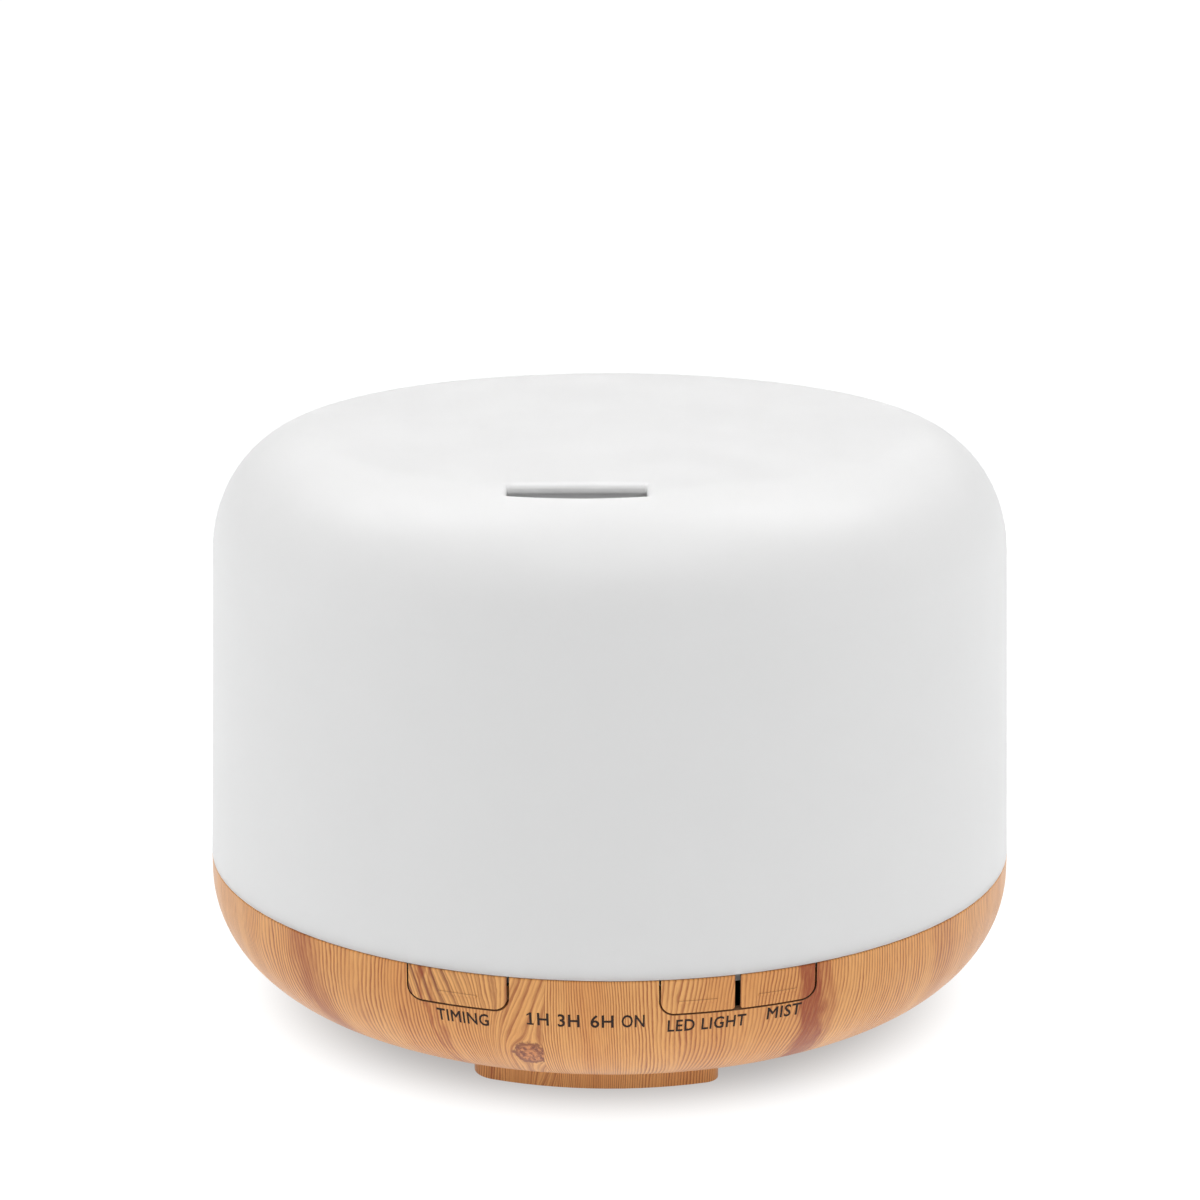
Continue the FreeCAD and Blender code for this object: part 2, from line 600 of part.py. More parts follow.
def led_chips():
    """Six colour-changing lamps on top of the light board."""
    chips = []
    for az in (-80, -50, -25, 25, 50, 80):
        chip = block((-2.5, 2.5), (-2.5, 2.5), (LED_BOARD_Z[1], LED_BOARD_Z[1] + 1.6))
        chip = chip.makeChamfer(0.5, edges_along(chip, Z_AXIS)[:1])
        chip = chip.cut(upright(1.9, 0, 0, (LED_BOARD_Z[1] + 1.2, LED_BOARD_Z[1] + 2)))
        chip.rotate(ORIGIN, Z_AXIS, az)
        chip.translate(polar(az, LED_POST_R))
        chips.append(chip)
    return Part.makeCompound(chips)


def led_board_screws():
    return Part.makeCompound([screw(1.9, 1.3, 0.85, 3.5, polar(az, LED_POST_R, LED_BOARD_Z[0]), Z_AXIS)
                              for az in LED_POST_AZIMUTHS])


# ---------------------------------------------------------------- main board


def main_board():
    board = block(MAIN_BOARD_X, MAIN_BOARD_Y, MAIN_BOARD_Z)
    board = board.makeFillet(1.5, edges_along(board, Z_AXIS))
    return board.cut([upright(1.3, x, y, (10, 14)) for x, y in MAIN_BOARD_HOLES])


def main_board_screws():
    return Part.makeCompound([screw(2.2, 1.5, 1.05, 4.0, V(x, y, MAIN_BOARD_Z[1]), V(0, 0, -1))
                              for x, y in MAIN_BOARD_HOLES])


def heat_sink():
    z = (MAIN_BOARD_Z[1], MAIN_BOARD_Z[1] + 15.0)
    plate = block((-46.4, -44.4), (-18.0, 4.0), z)
    fins = [block((-55.4, -46.3), (y, y + 1.2), z) for y in (-18.0, -12.8, -7.6, -2.4, 2.8)]
    return fused([plate] + fins)


def power_transistor():
    body = block((-44.4, -39.9), (-12.0, -2.0), (17.0, 26.0))
    body = body.makeChamfer(0.6, edges_along(body, Y_AXIS))
    legs = [block((-42.5, -41.9), (y - 0.4, y + 0.4), (MAIN_BOARD_Z[1], 17.2)) for y in (-9.5, -7.0, -4.5)]
    return fused([body] + legs)


def inductors():
    drums = []
    for x, y, r, h in ((-37.0, 8.0, 4.6, 9.0), (-37.0, -21.0, 3.8, 8.0)):
        z0 = MAIN_BOARD_Z[1]
        parts = [upright(r, x, y, (z0, z0 + 1.5)), upright(r * 0.82, x, y, (z0, z0 + h)),
                 upright(r, x, y, (z0 + h - 1.5, z0 + h))]
        drums.append(fused(parts))
    return Part.makeCompound(drums)


def capacitors():
    cans = []
    for x, y, r, h in ((-50.0, 9.2, 4.0, 12.0), (-44.2, 16.0, 2.5, 8.0), (-47.5, -25.5, 3.2, 9.0)):
        z0 = MAIN_BOARD_Z[1]
        can = upright(r, x, y, (z0, z0 + h))
        rim = [e for e in can.Edges if abs(e.CenterOfMass.z - z0 - h) < 1e-3]
        can = can.makeFillet(0.5, rim)
        can = can.cut(ring(r + 1, r - 0.35, (z0 + 1.2, z0 + 1.8), x, y))
        cans.append(can)
    return Part.makeCompound(cans)


def control_chip():
    z0 = MAIN_BOARD_Z[1]
    body = block((-38.6, -34.8), (-13.2, -3.4), (z0 + 0.15, z0 + 1.6))
    pins = []
    for i in range(8):
        y = -12.7 + i * 1.27
        pins.append(block((-39.4, -34.0), (y - 0.2, y + 0.2), (z0, z0 + 0.35)))
    return fused([body] + pins)


def wire_connectors():
    z = (MAIN_BOARD_Z[1], CONNECTOR_TOP)
    shells = []
    for y in CONNECTOR_YS.values():
        shell = block((CONNECTOR_X - 2.5, CONNECTOR_X + 2.5), (y - 4.2, y + 4.2), z)
        shells.append(shell.makeChamfer(0.4, edges_along(shell, Z_AXIS)))
    return Part.makeCompound(shells)


# ---------------------------------------------------------------- key board


def key_board():
    board = block((-37, 37), KEY_BOARD_Y, KEY_BOARD_Z)
    return board.cut([rod(1.3, V(x, -66, 21.0), V(x, -60, 21.0)) for x in (-14.0, 12.0)])


def key_board_screws():
    return Part.makeCompound([screw(2.1, 1.4, 1.05, 4.6, V(x, KEY_BOARD_Y[0], 21.0), Y_AXIS)
                              for x in (-14.0, 12.0)])


def indicator_leds():
    front = KEY_BOARD_Y[0] - 1.2
    return Part.makeCompound([block((x - 1.0, x + 1.0), (front, KEY_BOARD_Y[0]),
                                    (INDICATOR_Z - 0.8, INDICATOR_Z + 0.8)) for x in INDICATOR_XS])


def skin_back_y(x):
    """Where the thin spot in front of an indicator begins."""
    return INDICATOR_SKIN - math.sqrt(BODY_R ** 2 - (abs(x) + 1.25) ** 2)


def light_guide():
    """Clear comb that carries each indicator's light to a thin spot in the front wall."""
    start = KEY_BOARD_Y[0] - 1.3
    prongs = [rod(1.0, V(x, start, INDICATOR_Z), V(x, skin_back_y(x) + 0.3, INDICATOR_Z)) for x in INDICATOR_XS]
    bar = block((INDICATOR_XS[0], INDICATOR_XS[-1]), (-72.0, -70.0), (INDICATOR_Z - 0.9, INDICATOR_Z + 0.9))
    legs = [block((x - 0.8, x + 0.8), (-71.0, KEY_BOARD_Y[0]), (INDICATOR_Z - 0.8, INDICATOR_Z + 0.8))
            for x in (-10.5, 1.5)]
    return fused(prongs + [bar] + legs)


# ---------------------------------------------------------------- fan


def fan_frame():
    frame = slab(FAN_SIDE, FAN_SIDE, 3.0, FAN_Z, 0, FAN_Y).cut(upright(FAN_BORE_R, 0, FAN_Y, (0, 40)))
    base = (FAN_Z[0], FAN_Z[0] + 1.4)
    parts = [frame, upright(9.5, 0, FAN_Y, base), upright(3.0, 0, FAN_Y, (FAN_Z[0], 15.5))]
    for turn in (45, 135, 225, 315):
        strut = block((9.0, FAN_BORE_R + 0.6), (-0.8, 0.8), base)
        strut.rotate(ORIGIN, Z_AXIS, turn)
        strut.translate(V(0, FAN_Y, 0))
        parts.append(strut)
    body = fused(parts)
    holes = [upright(2.0, 0, FAN_Y, (9.4, 16))]
    for sx in (-1, 1):
        for sy in (-1, 1):
            holes.append(upright(1.7, sx * FAN_PITCH, FAN_Y + sy * FAN_PITCH, (0, 40)))
    return body.cut(holes)


def fan_bearing():
    return ring(1.96, 1.03, (9.6, 15.0), 0, FAN_Y)


def fan_shaft():
    return upright(1.0, 0, FAN_Y, (9.7, 16.9))


def fan_stator():
    core = ring(4.2, 3.05, (10.4, 14.4), 0, FAN_Y)
    parts = [core]
    for turn in (0, 90, 180, 270):
        arm = block((4.0, 7.2), (-0.8, 0.8), (10.4, 14.4))
        arm.rotate(ORIGIN, Z_AXIS, turn)
        arm.translate(V(0, FAN_Y, 0))
        shoe = sector(6.7, 7.6, (turn - 30, turn + 30), (10.4, 14.4))
        shoe.translate(V(0, FAN_Y, 0))
        parts += [arm, shoe]
    return fused(parts)


def fan_coils():
    coils = []
    for turn in (0, 90, 180, 270):
        coil = block((4.5, 6.4), (-1.7, 1.7), (9.7, 15.1)).cut(block((4.0, 7.0), (-0.85, 0.85), (10.35, 14.45)))
        coil.rotate(ORIGIN, Z_AXIS, turn)
        coil.translate(V(0, FAN_Y, 0))
        coils.append(coil)
    return Part.makeCompound(coils)


def fan_rotor():
    hub = upright(10.0, 0, FAN_Y, (9.8, 17.2))
    crown = [e for e in hub.Edges if abs(e.CenterOfMass.z - 17.2) < 1e-3]
    hub = hub.makeFillet(0.8, crown).cut(upright(9.2, 0, FAN_Y, (9.0, 16.2)))
    boss = upright(1.9, 0, FAN_Y, (15.6, 16.5))
    blades = []
    for i in range(7):
        blade = block((9.7, 18.2), (-0.5, 0.5), (-4.2, 4.2))
        blade.rotate(ORIGIN, X_AXIS, 48)
        blade.translate(V(0, 0, 13.6))
        blade.rotate(ORIGIN, Z_AXIS, i * 360.0 / 7)
        blade.translate(V(0, FAN_Y, 0))
        blades.append(blade)
    return fused([hub, boss] + blades).cut(upright(1.01, 0, FAN_Y, (9.0, 16.95)))


def fan_magnet():
    return ring(9.15, 8.1, (10.0, 15.8), 0, FAN_Y)


def fan_screws():
    screws = []
    for sx in (-1, 1):
        for sy in (-1, 1):
            seat = V(sx * FAN_PITCH, FAN_Y + sy * FAN_PITCH, FAN_Z[1])
            screws.append(screw(2.6, 1.6, 1.25, 12.0, seat, V(0, 0, -1)))
    return Part.makeCompound(screws)


def fan_gasket():
    z = (FAN_Z[1], FAN_Z[1] + FAN_GASKET_T)
    pad = slab(FAN_SIDE, FAN_SIDE, 3.0, z, 0, FAN_Y).cut(upright(18.4, 0, FAN_Y, (0, 40)))
    corners = [upright(3.2, sx * FAN_PITCH, FAN_Y + sy * FAN_PITCH, (0, 40)) for sx in (-1, 1) for sy in (-1, 1)]
    return pad.cut(corners)


# ---------------------------------------------------------------- power inlet


def dc_jack_body():
    body = block((-4.5, 4.5), (JACK_REAR_Y, JACK_FRONT_Y), (JACK_BOARD_Z[1], JACK_Z + 4.5))
    bore = rod(3.0, V(0, 65.0, JACK_Z), V(0, 80, JACK_Z))
    stem = rod(1.42, V(0, 61.9, JACK_Z), V(0, 66, JACK_Z))
    channel = block((-1.3, 1.3), (63.0, 80.0), (14.9, 16.6))
    drop = block((-1.3, 1.3), (63.0, 64.6), (12.0, 15.0))
    return body.cut([bore, stem, channel, drop])


def dc_jack_pin():
    tip = rod(JACK_PIN_R, V(0, 65.0, JACK_Z), V(0, 73.7, JACK_Z))
    end = [e for e in tip.Edges if abs(e.CenterOfMass.y - 73.7) < 1e-3]
    return fused([tip.makeFillet(0.4, end), rod(1.4, V(0, 62.0, JACK_Z), V(0, 65.0, JACK_Z))])


def dc_jack_contact():
    leaf = block((-0.9, 0.9), (63.4, 73.2), (15.1, 15.5))
    leg = block((-0.9, 0.9), (63.4, 63.9), (JACK_BOARD_Z[1], 15.5))
    return fused([leaf, leg])


def jack_board():
    return block((-7.0, 7.0), (58.5, 70.0), JACK_BOARD_Z)


# ---------------------------------------------------------------- internal leads


def leads(count, route, pitch=1.7, spread=Y_AXIS):
    """Insulated wires side by side along one route of points."""
    shift = [(i - (count - 1) / 2) * pitch for i in range(count)]
    return Part.makeCompound([wire_tube([p + spread * s for p in route]) for s in shift])


def connector(name, z=CONNECTOR_TOP):
    return V(CONNECTOR_X, CONNECTOR_YS[name], z)


def piezo_leads():
    return leads(2, [V(-2.0, 0, PIEZO_Z[0] - 0.02), V(-2.0, 0, 24.5), V(-16.0, -8.0, 23.0),
                     connector("piezo", 25.0), connector("piezo")])


def led_leads():
    x = CONNECTOR_X - 0.5
    return leads(4, [V(x, -1.0, LED_BOARD_Z[0]), V(x, -1.0, 28.5), connector("led", 24.0), connector("led")])


def key_leads():
    start = V(-30.0, KEY_BOARD_Y[1], 22.0)
    return leads(4, [start, start + V(0, 8.0, 0), V(-29.8, -40.0, 26.0), connector("key", 26.5), connector("key")],
                 1.7, X_AXIS)


def fan_leads():
    return leads(2, [V(-20.0, 26.0, 15.0), V(-25.0, 26.0, 15.0), V(-28.0, 17.0, 24.0), connector("fan", 25.5),
                     connector("fan")], 1.6)


def power_leads():
    return leads(2, [V(-6.0, 62.5, JACK_BOARD_Z[1]), V(-6.0, 62.5, 21.0), V(-22.0, 57.5, 25.0),
                     V(-32.5, 36.0, 26.5), V(-33.0, 18.0, 27.0), connector("power", 24.5), connector("power")],
                 1.6)


# ---------------------------------------------------------------- export

PARTS = {
    "base_shell": base_shell,
    "housing_screws": housing_screws,
    "tank": tank,
    "tank_deck": tank_deck,
    "tank_posts": tank_posts,
    "air_riser": air_riser,
    "duct_cap": duct_cap,
    "top_cover": top_cover,
    "mist_nozzle": mist_nozzle,
    "splash_cover": splash_cover,
    "piezo_disc": piezo_disc,
    "piezo_gasket": piezo_gasket,
    "piezo_retainer": piezo_retainer,
    "piezo_screws": piezo_screws,
    "led_board": led_board,
    "led_chips": led_chips,
    "led_board_screws": led_board_screws,
    "main_board": main_board,
    "main_board_screws": main_board_screws,
    "heat_sink": heat_sink,
    "power_transistor": power_transistor,
    "inductors": inductors,
    "capacitors": capacitors,
    "control_chip": control_chip,
    "wire_connectors": wire_connectors,
    "key_board": key_board,
    "key_board_screws": key_board_screws,
    "indicator_leds": indicator_leds,
    "light_guide": light_guide,
    "fan_frame": fan_frame,
    "fan_bearing": fan_bearing,
    "fan_shaft": fan_shaft,
    "fan_stator": fan_stator,
    "fan_coils": fan_coils,
    "fan_rotor": fan_rotor,
    "fan_magnet": fan_magnet,
    "fan_screws": fan_screws,
    "fan_gasket": fan_gasket,
    "dc_jack_body": dc_jack_body,
    "dc_jack_pin": dc_jack_pin,
    "dc_jack_contact": dc_jack_contact,
    "jack_board": jack_board,
    "piezo_leads": piezo_leads,
    "led_leads": led_leads,
    "key_leads": key_leads,
    "fan_leads": fan_leads,
    "power_leads": power_leads,
}


def export(name, shape):
    assert shape.isValid(), name
    assert all(s.Volume > 0 for s in shape.Solids) and shape.Solids, name
    shape.exportStep(os.path.join("parts", name + ".step"))


def main():
    os.makedirs("parts", exist_ok=True)
    for name, make in PARTS.items():
        export(name, make())
    for side, azimuth in FOOT_AZIMUTHS.items():
        export("foot_pad_" + side, foot_pad(azimuth))
    for name in BUTTONS:
        export(name + "_button", button(name))
        export(name + "_switch_stem", switch_stem(name))
        export(name + "_switch_case", switch_case(name))


main()
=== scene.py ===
import math

import bmesh
import bpy
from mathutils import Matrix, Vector
from mathutils.bvhtree import BVHTree


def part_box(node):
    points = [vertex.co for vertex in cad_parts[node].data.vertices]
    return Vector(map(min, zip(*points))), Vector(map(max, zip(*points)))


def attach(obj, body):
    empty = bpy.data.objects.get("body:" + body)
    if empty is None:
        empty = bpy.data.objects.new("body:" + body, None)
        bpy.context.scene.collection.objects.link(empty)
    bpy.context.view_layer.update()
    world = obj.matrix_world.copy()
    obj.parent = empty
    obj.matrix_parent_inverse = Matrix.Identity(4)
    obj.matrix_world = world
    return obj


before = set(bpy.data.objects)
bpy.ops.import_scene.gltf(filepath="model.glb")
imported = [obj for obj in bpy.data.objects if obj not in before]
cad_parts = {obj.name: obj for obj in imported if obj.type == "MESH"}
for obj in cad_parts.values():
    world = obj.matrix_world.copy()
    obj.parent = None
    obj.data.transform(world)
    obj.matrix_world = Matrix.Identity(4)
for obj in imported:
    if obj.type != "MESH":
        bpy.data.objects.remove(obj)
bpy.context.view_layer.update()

MM = 0.001

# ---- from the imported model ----
BODY_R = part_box("base_shell")[1].x

# ---- the printed wood film: angles in degrees from the front, lengths in millimetres ----
MM_PER_DEGREE = BODY_R / MM * math.pi / 180
FILM_SEAM = -8.15  # azimuth of the joint in the film, at the height below
FILM_SEAM_Z = 31.0
FILM_SEAM_LEAN = 0.045  # degrees per millimetre of height
UNDERSIDE_R, SIDE_R = 0.056, 0.0595  # metres: between them the print turns from the underside to the side
UNDERSIDE_STRETCH = 0.3

KNOT_AT = -10.6
KNOT_Z = 15.0
KNOT_SIZE = 3.1
KNOT_SQUASH = 1.2  # the knot is wider than it is tall by this factor
RING_COUNT = 0.72  # rings per millimetre
RAGGED_EDGE = 3.2  # the knot's outline is torn in and out within this width
COARSE_START, COARSE_FULL = -13.0, -3.0  # beside the knot the print is coarse, measured from the knot
SWERVE_Z, SWERVE_SLOPE = 30.0, 0.42  # and its lines lean by this slope, starting at this height

GRAIN_PITCH = 0.85
WIDE_PITCH, WIDE_OFFSET = 2.4, 0.7
# the parts of a pitch at which a line starts, is dark, fades and is gone
GRAIN_LINE = (0.25, 0.8, 0.84, 1.0)
WIDE_LINE = (0.4, 0.82, 0.86, 0.98)
CROWDED_FROM, CROWDED_TO, CROWDING = -22.0, 10.0, 17.0  # right of the joint the lines stand closer together
STRIPES_FROM, STRIPES_TO = -23.0, -17.0  # degrees: across the timer button its stripes get fainter

# how finely each kind of noise varies: cells per millimetre across and along the grain
DRIFT_CELLS = (0.045, 0.02)
WOBBLE_CELLS = (0.35, 0.12)
PATCH_CELLS = (0.22, 0.03)
FIBRE_CELLS = (3.2, 0.22)
TONE_CELLS = (0.07, 0.012)
BLOTCH_CELLS = (1.1, 0.9)
SLANT_CELLS = 0.02
DRIFT = 9.0
SLANT = 0.55
WOBBLE, WOBBLE_COARSE = 0.8, 1.5

STREAK_LEAN = -0.1  # degrees per millimetre of height
STREAK_Z = 28.0  # the height at which the azimuths below are measured
STREAK_RAGGED = 3.6
STREAKS = (  # azimuth, half width, strength
    (26.9, 1.4, 1.9),
    (29.6, 0.8, 0.55),
    (-23.4, 0.3, 0.5),
    (-24.8, 0.3, 0.7),
    (-45.0, 2.2, 0.7),
    (-36.5, 1.2, 0.15),
    (52.0, 3.0, 0.3),
    (88.0, 3.5, 0.6),
    (-100.0, 4.0, 0.7),
    (140.0, 5.0, 0.6),
    (-150.0, 3.0, 0.8),
)
WOOD_LIGHT = (0.830, 0.412, 0.132)
WOOD_MIDDLE = (0.750, 0.330, 0.094)
WOOD_LINE = (0.330, 0.085, 0.018)
WOOD_STREAK = (0.310, 0.050, 0.006)
KNOT_DARK = (0.190, 0.040, 0.014)
KNOT_LIGHT = (0.620, 0.230, 0.075)

BARE_PLASTIC = (0.360, 0.235, 0.140)  # inside the shell, where no film reaches
BARE_R = 0.045  # metres from the axis
# a face is film where the print's height v is less than these, at any radius and from BARE_R outwards
FILM_BELOW, OUTER_FILM_BELOW = 6.0, 6.6

# ---- printed lettering ----
INK = (0.020, 0.010, 0.007)
LETTERING = (  # name, words, left and right azimuth, height of the baseline, height of a capital
    ("timing", "TIMING", -22.9, -15.7, 21.2, 2.6),
    ("hours_1", "1H", -10.6, -7.75, 22.4, 2.7),
    ("hours_3", "3H", -6.6, -3.8, 22.35, 2.7),
    ("hours_6", "6H", -2.4, 0.56, 22.35, 2.7),
    ("always", "ON", 1.57, 4.5, 22.4, 2.7),
    ("light", "LED LIGHT", 7.5, 17.9, 21.1, 2.6),
    ("mist", "MIST", 20.8, 25.7, 21.7, 2.6),
)
CAPITAL = 0.69  # height of a capital for a font size of one
LETTER_SPACING = 1.08
STROKE_SWELL = 0.055 * MM  # added all round each stroke
STROKE_DEPTH = 0.004 * MM
LETTER_FLATTEN = 0.5
LETTER_HEIGHT = 0.96  # of the flat letters' height, because the strokes are swollen
LETTER_LIFT = 0.03 * MM  # the middle of the print above the wood
COLUMN, ROW, ROWS = 0.8 * MM, 0.5 * MM, 5  # the letters are cut this finely, to follow the curved wall
RAY_LENGTH = 0.02  # metres outside the wall, where the search for it starts

# ---- floor, lights and camera ----
FLOOR_HALF = 12.0
GLOW_SHADOW, GLOW_OPEN = 0.42, 0.97  # brightness of the floor's glow under the object, dimmed there as a painted shadow, and beside it
# metres from the axis: between these radii the painted shadow on the floor fades into the open glow
SHADOW_R, OPEN_R = 0.054, 0.080
GLOW_RED, GLOW_BLUE = 0.99, 1.003
SKY_LIGHT, SKY_SEEN = 0.46, 1.0
AIM = (0, 0, 0.06)
SOFTBOXES = (  # name, place, width, height, watts
    ("top_left_softbox", (-0.55, 0.1, 1.05), 0.6, 0.8, 4.55),
    ("top_right_softbox", (0.55, 0.1, 1.05), 0.6, 0.8, 4.55),
    ("front_softbox", (0, -0.8, 1.1), 1.0, 0.6, 3.6),
)
CAMERA_PLACE = (0, -0.57537, 0.23013)
CAMERA_LOOKS = (-0.00339, 0.96885, -0.24764)
LENS, SENSOR_WIDTH, CLIP_START = 85.28, 36.0, 0.01


# ---------------------------------------------------------------- material graphs


class Graph:
    """A material's node tree, with one short call for each kind of node."""

    def __init__(self, name):
        self.material = bpy.data.materials.new(name)
        self.material.use_nodes = True
        self.tree = self.material.node_tree
        self.shader = self.tree.nodes["Principled BSDF"]
        self.place = self.tree.nodes.new("ShaderNodeTexCoord").outputs["Object"]

    def node(self, kind, inputs=(), **settings):
        node = self.tree.nodes.new(kind)
        for key, value in settings.items():
            setattr(node, key, value)
        for key, value in dict(inputs).items():
            self.put(node.inputs[key], value)
        return node

    def put(self, socket, value):
        if isinstance(value, bpy.types.NodeSocket):
            self.tree.links.new(value, socket)
        elif isinstance(value, tuple) and len(value) == 3 and socket.type == "RGBA":
            socket.default_value = (*value, 1.0)
        else:
            socket.default_value = value

    def math(self, operation, a, b=0.0, c=0.0):
        return self.node("ShaderNodeMath", {0: a, 1: b, 2: c}, operation=operation).outputs[0]

    def add(self, a, b):
        return self.math("ADD", a, b)

    def sub(self, a, b):
        return self.math("SUBTRACT", a, b)

    def mul(self, a, b):
        return self.math("MULTIPLY", a, b)

    def div(self, a, b):
        return self.math("DIVIDE", a, b)

    def length(self, a, b):
        return self.math("SQRT", self.add(self.mul(a, a), self.mul(b, b)))

    def xyz(self, vector):
        return self.node("ShaderNodeSeparateXYZ", {0: vector}).outputs[:]

    def vector(self, x, y, z):
        return self.node("ShaderNodeCombineXYZ", {0: x, 1: y, 2: z}).outputs[0]

    def scaled(self, x, y, z):
        """The object's coordinates, stretched along each axis."""
        inputs = {0: self.place, 1: (x, y, z)}
        return self.node("ShaderNodeVectorMath", inputs, operation="MULTIPLY").outputs[0]

    def noise(self, vector, scale=1.0, detail=3.0, rough=0.5):
        inputs = {"Vector": vector, "Scale": scale, "Detail": detail, "Roughness": rough}
        return self.node("ShaderNodeTexNoise", inputs).outputs[0]

    def grain(self, across, along, cells, page, detail, rough=0.5):
        """Noise with its own fineness across and along the grain; each page is another pattern."""
        place = self.vector(self.mul(across, cells[0]), self.mul(along, cells[1]), page)
        return self.noise(place, 1.0, detail, rough)

    def spots(self, scale, **settings):
        inputs = {"Vector": self.place, "Scale": scale}
        return self.node("ShaderNodeTexVoronoi", inputs, **settings).outputs["Distance"]

    def smooth(self, value, low, high, out_low=0.0, out_high=1.0):
        inputs = {"Value": value, "From Min": low, "From Max": high, "To Min": out_low, "To Max": out_high}
        return self.node("ShaderNodeMapRange", inputs, interpolation_type="SMOOTHSTEP").outputs[0]

    def bell(self, value, centre, half_width):
        """1 at the centre, falling smoothly to 0 at twice the half width."""
        away = self.math("ABSOLUTE", self.sub(value, centre))
        return self.smooth(away, 0.0, 2 * half_width, 1.0, 0.0)

    def mix(self, factor, a, b):
        node = self.node("ShaderNodeMix", data_type="RGBA")
        self.put(node.inputs[0], factor)
        self.put(node.inputs[6], a)
        self.put(node.inputs[7], b)
        return node.outputs[2]

    def choose(self, factor, a, b):
        node = self.node("ShaderNodeMix", data_type="FLOAT")
        self.put(node.inputs[0], factor)
        self.put(node.inputs[2], a)
        self.put(node.inputs[3], b)
        return node.outputs[0]

    def bump(self, height, distance, strength=1.0):
        inputs = {"Height": height, "Distance": distance, "Strength": strength}
        self.put(self.shader.inputs["Normal"], self.node("ShaderNodeBump", inputs).outputs[0])

    def surface(self, **values):
        names = {"color": "Base Color", "rough": "Roughness", "metal": "Metallic", "coat": "Coat Weight",
                 "coat_rough": "Coat Roughness", "subsurface": "Subsurface Weight", "ior": "IOR",
                 "specular": "Specular IOR Level", "through": "Transmission Weight"}
        for key, value in values.items():
            self.put(self.shader.inputs[names[key]], value)
        return self.material


def growth_line(g, across, pitch, starts, dark, fades, gone):
    """One line in each pitch, which darkens slowly and ends sharply."""
    phase = g.math("FRACT", g.div(across, pitch))
    return g.mul(g.smooth(phase, starts, dark), g.smooth(phase, fades, gone, 1.0, 0.0))


def add_streaks(g, color, azimuth, v, wobble, fibre, side_wall):
    """Reddish streaks down the side, ragged and streaked themselves."""
    ragged = g.add(azimuth, g.mul(g.sub(wobble, 0.5), STREAK_RAGGED))
    ragged = g.add(ragged, g.mul(g.sub(STREAK_Z, v), STREAK_LEAN))
    streak = 0.0
    for centre, half, amount in STREAKS:
        streak = g.math("MAXIMUM", streak, g.mul(g.bell(ragged, centre, half), amount))
    streak = g.mul(g.math("MINIMUM", streak, 1.0), side_wall)
    streak = g.mul(streak, g.smooth(fibre, 0.28, 0.6, 0.65, 1.0))
    return g.mix(g.mul(streak, 0.95), color, WOOD_STREAK)


def add_knot(g, color, across, away, v, here):
    """The knot: broken rings and blotches with a ragged outline, cut off by the joint in the film."""
    blotch = g.grain(across, v, BLOTCH_CELLS, 5.3, 4.0, 0.65)
    torn = g.add(away, g.mul(g.sub(blotch, 0.5), RAGGED_EDGE))
    rings = g.math("FRACT", g.mul(torn, RING_COUNT))
    inside = g.mul(g.smooth(torn, KNOT_SIZE * 0.85, KNOT_SIZE * 1.15, 1.0, 0.0), here)
    light = g.mul(g.smooth(blotch, 0.38, 0.58), g.smooth(rings, 0.1, 0.6, 0.5, 1.0))
    color = g.mix(g.mul(inside, 0.97), color, g.mix(light, KNOT_DARK, KNOT_LIGHT))
    rim = g.mul(g.bell(torn, KNOT_SIZE * 1.05, 0.35), here)
    return g.mix(g.mul(rim, 0.8), color, KNOT_DARK)


def film_reaches(g, x, y, v, radius):
    """1 where a face looks outwards or lies low, so that it's film; 0 inside, where the moulding is bare."""
    normal = g.node("ShaderNodeNewGeometry").outputs["Normal"]
    outwards = g.vector(g.div(x, radius), g.div(y, radius), -0.3)
    inputs = {0: normal, 1: outwards}
    facing = g.node("ShaderNodeVectorMath", inputs, operation="DOT_PRODUCT").outputs["Value"]
    outer = g.math("MAXIMUM", g.smooth(facing, -0.25, 0.1), g.math("LESS_THAN", v, OUTER_FILM_BELOW))
    outer = g.mul(outer, g.math("GREATER_THAN", radius, BARE_R))
    return g.math("MAXIMUM", outer, g.math("LESS_THAN", v, FILM_BELOW))


